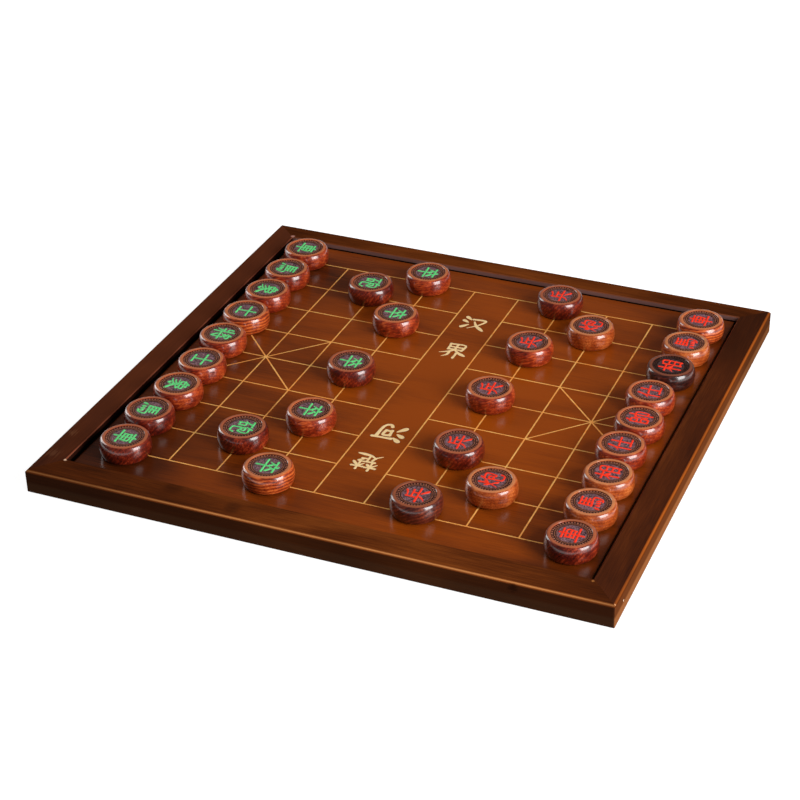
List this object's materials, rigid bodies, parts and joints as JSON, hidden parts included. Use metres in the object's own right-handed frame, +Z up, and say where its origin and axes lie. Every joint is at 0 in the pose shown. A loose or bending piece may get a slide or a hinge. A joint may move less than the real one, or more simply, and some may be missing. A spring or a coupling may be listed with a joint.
{
  "type": "xiangqi board with pieces",
  "caption": "Framed dark wood board for Chinese chess with an engraved grid, set out with turned rosewood pieces carved in green and red.",
  "frame": {"origin": "middle of the board's underside, on the surface that it rests on", "axes": "+X along the long front rail from the green side to the red side, +Y from the front rail to the back rail, +Z up"},
  "size_m": [0.558, 0.5306, 0.0379],
  "materials": {
    "frame_wood": "dark stain, satin lacquer",
    "panel_wood": "brown stain, semi-gloss lacquer",
    "line_filling": "tan paint in the engraved lines",
    "backing_plywood": "sanded plywood",
    "batten_wood": "planed, unfinished",
    "screw_steel": "zinc plated",
    "piece_rosewood": "polished and waxed"
  },
  "bodies": {
    "board": {"rail_front": "frame_wood", "rail_back": "frame_wood", "rail_left": "frame_wood", "rail_right": "frame_wood", "corner_splines": "batten_wood", "playing_panel": "panel_wood", "grid_filling": "line_filling", "backing_board": "backing_plywood", "batten_1": "batten_wood", "batten_2": "batten_wood", "batten_3": "batten_wood", "backing_screws": "screw_steel"},
    "green_chariot_front_body": {"green_chariot_front": "piece_rosewood"},
    "green_horse_front_body": {"green_horse_front": "piece_rosewood"},
    "green_elephant_front_body": {"green_elephant_front": "piece_rosewood"},
    "green_advisor_front_body": {"green_advisor_front": "piece_rosewood"},
    "green_general_body": {"green_general": "piece_rosewood"},
    "green_advisor_back_body": {"green_advisor_back": "piece_rosewood"},
    "green_elephant_back_body": {"green_elephant_back": "piece_rosewood"},
    "green_horse_back_body": {"green_horse_back": "piece_rosewood"},
    "green_chariot_back_body": {"green_chariot_back": "piece_rosewood"},
    "green_cannon_front_body": {"green_cannon_front": "piece_rosewood"},
    "green_cannon_back_body": {"green_cannon_back": "piece_rosewood"},
    "green_soldier_1_body": {"green_soldier_1": "piece_rosewood"},
    "green_soldier_2_body": {"green_soldier_2": "piece_rosewood"},
    "green_soldier_3_body": {"green_soldier_3": "piece_rosewood"},
    "green_soldier_4_body": {"green_soldier_4": "piece_rosewood"},
    "green_soldier_5_body": {"green_soldier_5": "piece_rosewood"},
    "red_chariot_front_body": {"red_chariot_front": "piece_rosewood"},
    "red_horse_front_body": {"red_horse_front": "piece_rosewood"},
    "red_minister_front_body": {"red_minister_front": "piece_rosewood"},
    "red_officer_front_body": {"red_officer_front": "piece_rosewood"},
    "red_marshal_body": {"red_marshal": "piece_rosewood"},
    "red_officer_back_body": {"red_officer_back": "piece_rosewood"},
    "red_minister_back_body": {"red_minister_back": "piece_rosewood"},
    "red_horse_back_body": {"red_horse_back": "piece_rosewood"},
    "red_chariot_back_body": {"red_chariot_back": "piece_rosewood"},
    "red_cannon_front_body": {"red_cannon_front": "piece_rosewood"},
    "red_cannon_back_body": {"red_cannon_back": "piece_rosewood"},
    "red_soldier_1_body": {"red_soldier_1": "piece_rosewood"},
    "red_soldier_2_body": {"red_soldier_2": "piece_rosewood"},
    "red_soldier_3_body": {"red_soldier_3": "piece_rosewood"},
    "red_soldier_4_body": {"red_soldier_4": "piece_rosewood"},
    "red_soldier_5_body": {"red_soldier_5": "piece_rosewood"}
  },
  "joints": [
    {"name": "green_chariot_front_lift", "type": "slide", "parent": "board", "child": "green_chariot_front_body", "axis": [0, 0, 1], "range_m": [0, 0.03]},
    {"name": "green_horse_front_lift", "type": "slide", "parent": "board", "child": "green_horse_front_body", "axis": [0, 0, 1], "range_m": [0, 0.03]},
    {"name": "green_elephant_front_lift", "type": "slide", "parent": "board", "child": "green_elephant_front_body", "axis": [0, 0, 1], "range_m": [0, 0.03]},
    {"name": "green_advisor_front_lift", "type": "slide", "parent": "board", "child": "green_advisor_front_body", "axis": [0, 0, 1], "range_m": [0, 0.03]},
    {"name": "green_general_lift", "type": "slide", "parent": "board", "child": "green_general_body", "axis": [0, 0, 1], "range_m": [0, 0.03]},
    {"name": "green_advisor_back_lift", "type": "slide", "parent": "board", "child": "green_advisor_back_body", "axis": [0, 0, 1], "range_m": [0, 0.03]},
    {"name": "green_elephant_back_lift", "type": "slide", "parent": "board", "child": "green_elephant_back_body", "axis": [0, 0, 1], "range_m": [0, 0.03]},
    {"name": "green_horse_back_lift", "type": "slide", "parent": "board", "child": "green_horse_back_body", "axis": [0, 0, 1], "range_m": [0, 0.03]},
    {"name": "green_chariot_back_lift", "type": "slide", "parent": "board", "child": "green_chariot_back_body", "axis": [0, 0, 1], "range_m": [0, 0.03]},
    {"name": "green_cannon_front_lift", "type": "slide", "parent": "board", "child": "green_cannon_front_body", "axis": [0, 0, 1], "range_m": [0, 0.03]},
    {"name": "green_cannon_back_lift", "type": "slide", "parent": "board", "child": "green_cannon_back_body", "axis": [0, 0, 1], "range_m": [0, 0.03]},
    {"name": "green_soldier_1_lift", "type": "slide", "parent": "board", "child": "green_soldier_1_body", "axis": [0, 0, 1], "range_m": [0, 0.03]},
    {"name": "green_soldier_2_lift", "type": "slide", "parent": "board", "child": "green_soldier_2_body", "axis": [0, 0, 1], "range_m": [0, 0.03]},
    {"name": "green_soldier_3_lift", "type": "slide", "parent": "board", "child": "green_soldier_3_body", "axis": [0, 0, 1], "range_m": [0, 0.03]},
    {"name": "green_soldier_4_lift", "type": "slide", "parent": "board", "child": "green_soldier_4_body", "axis": [0, 0, 1], "range_m": [0, 0.03]},
    {"name": "green_soldier_5_lift", "type": "slide", "parent": "board", "child": "green_soldier_5_body", "axis": [0, 0, 1], "range_m": [0, 0.03]},
    {"name": "red_chariot_front_lift", "type": "slide", "parent": "board", "child": "red_chariot_front_body", "axis": [0, 0, 1], "range_m": [0, 0.03]},
    {"name": "red_horse_front_lift", "type": "slide", "parent": "board", "child": "red_horse_front_body", "axis": [0, 0, 1], "range_m": [0, 0.03]},
    {"name": "red_minister_front_lift", "type": "slide", "parent": "board", "child": "red_minister_front_body", "axis": [0, 0, 1], "range_m": [0, 0.03]},
    {"name": "red_officer_front_lift", "type": "slide", "parent": "board", "child": "red_officer_front_body", "axis": [0, 0, 1], "range_m": [0, 0.03]},
    {"name": "red_marshal_lift", "type": "slide", "parent": "board", "child": "red_marshal_body", "axis": [0, 0, 1], "range_m": [0, 0.03]},
    {"name": "red_officer_back_lift", "type": "slide", "parent": "board", "child": "red_officer_back_body", "axis": [0, 0, 1], "range_m": [0, 0.03]},
    {"name": "red_minister_back_lift", "type": "slide", "parent": "board", "child": "red_minister_back_body", "axis": [0, 0, 1], "range_m": [0, 0.03]},
    {"name": "red_horse_back_lift", "type": "slide", "parent": "board", "child": "red_horse_back_body", "axis": [0, 0, 1], "range_m": [0, 0.03]},
    {"name": "red_chariot_back_lift", "type": "slide", "parent": "board", "child": "red_chariot_back_body", "axis": [0, 0, 1], "range_m": [0, 0.03]},
    {"name": "red_cannon_front_lift", "type": "slide", "parent": "board", "child": "red_cannon_front_body", "axis": [0, 0, 1], "range_m": [0, 0.03]},
    {"name": "red_cannon_back_lift", "type": "slide", "parent": "board", "child": "red_cannon_back_body", "axis": [0, 0, 1], "range_m": [0, 0.03]},
    {"name": "red_soldier_1_lift", "type": "slide", "parent": "board", "child": "red_soldier_1_body", "axis": [0, 0, 1], "range_m": [0, 0.03]},
    {"name": "red_soldier_2_lift", "type": "slide", "parent": "board", "child": "red_soldier_2_body", "axis": [0, 0, 1], "range_m": [0, 0.03]},
    {"name": "red_soldier_3_lift", "type": "slide", "parent": "board", "child": "red_soldier_3_body", "axis": [0, 0, 1], "range_m": [0, 0.03]},
    {"name": "red_soldier_4_lift", "type": "slide", "parent": "board", "child": "red_soldier_4_body", "axis": [0, 0, 1], "range_m": [0, 0.03]},
    {"name": "red_soldier_5_lift", "type": "slide", "parent": "board", "child": "red_soldier_5_body", "axis": [0, 0, 1], "range_m": [0, 0.03]}
  ]
}
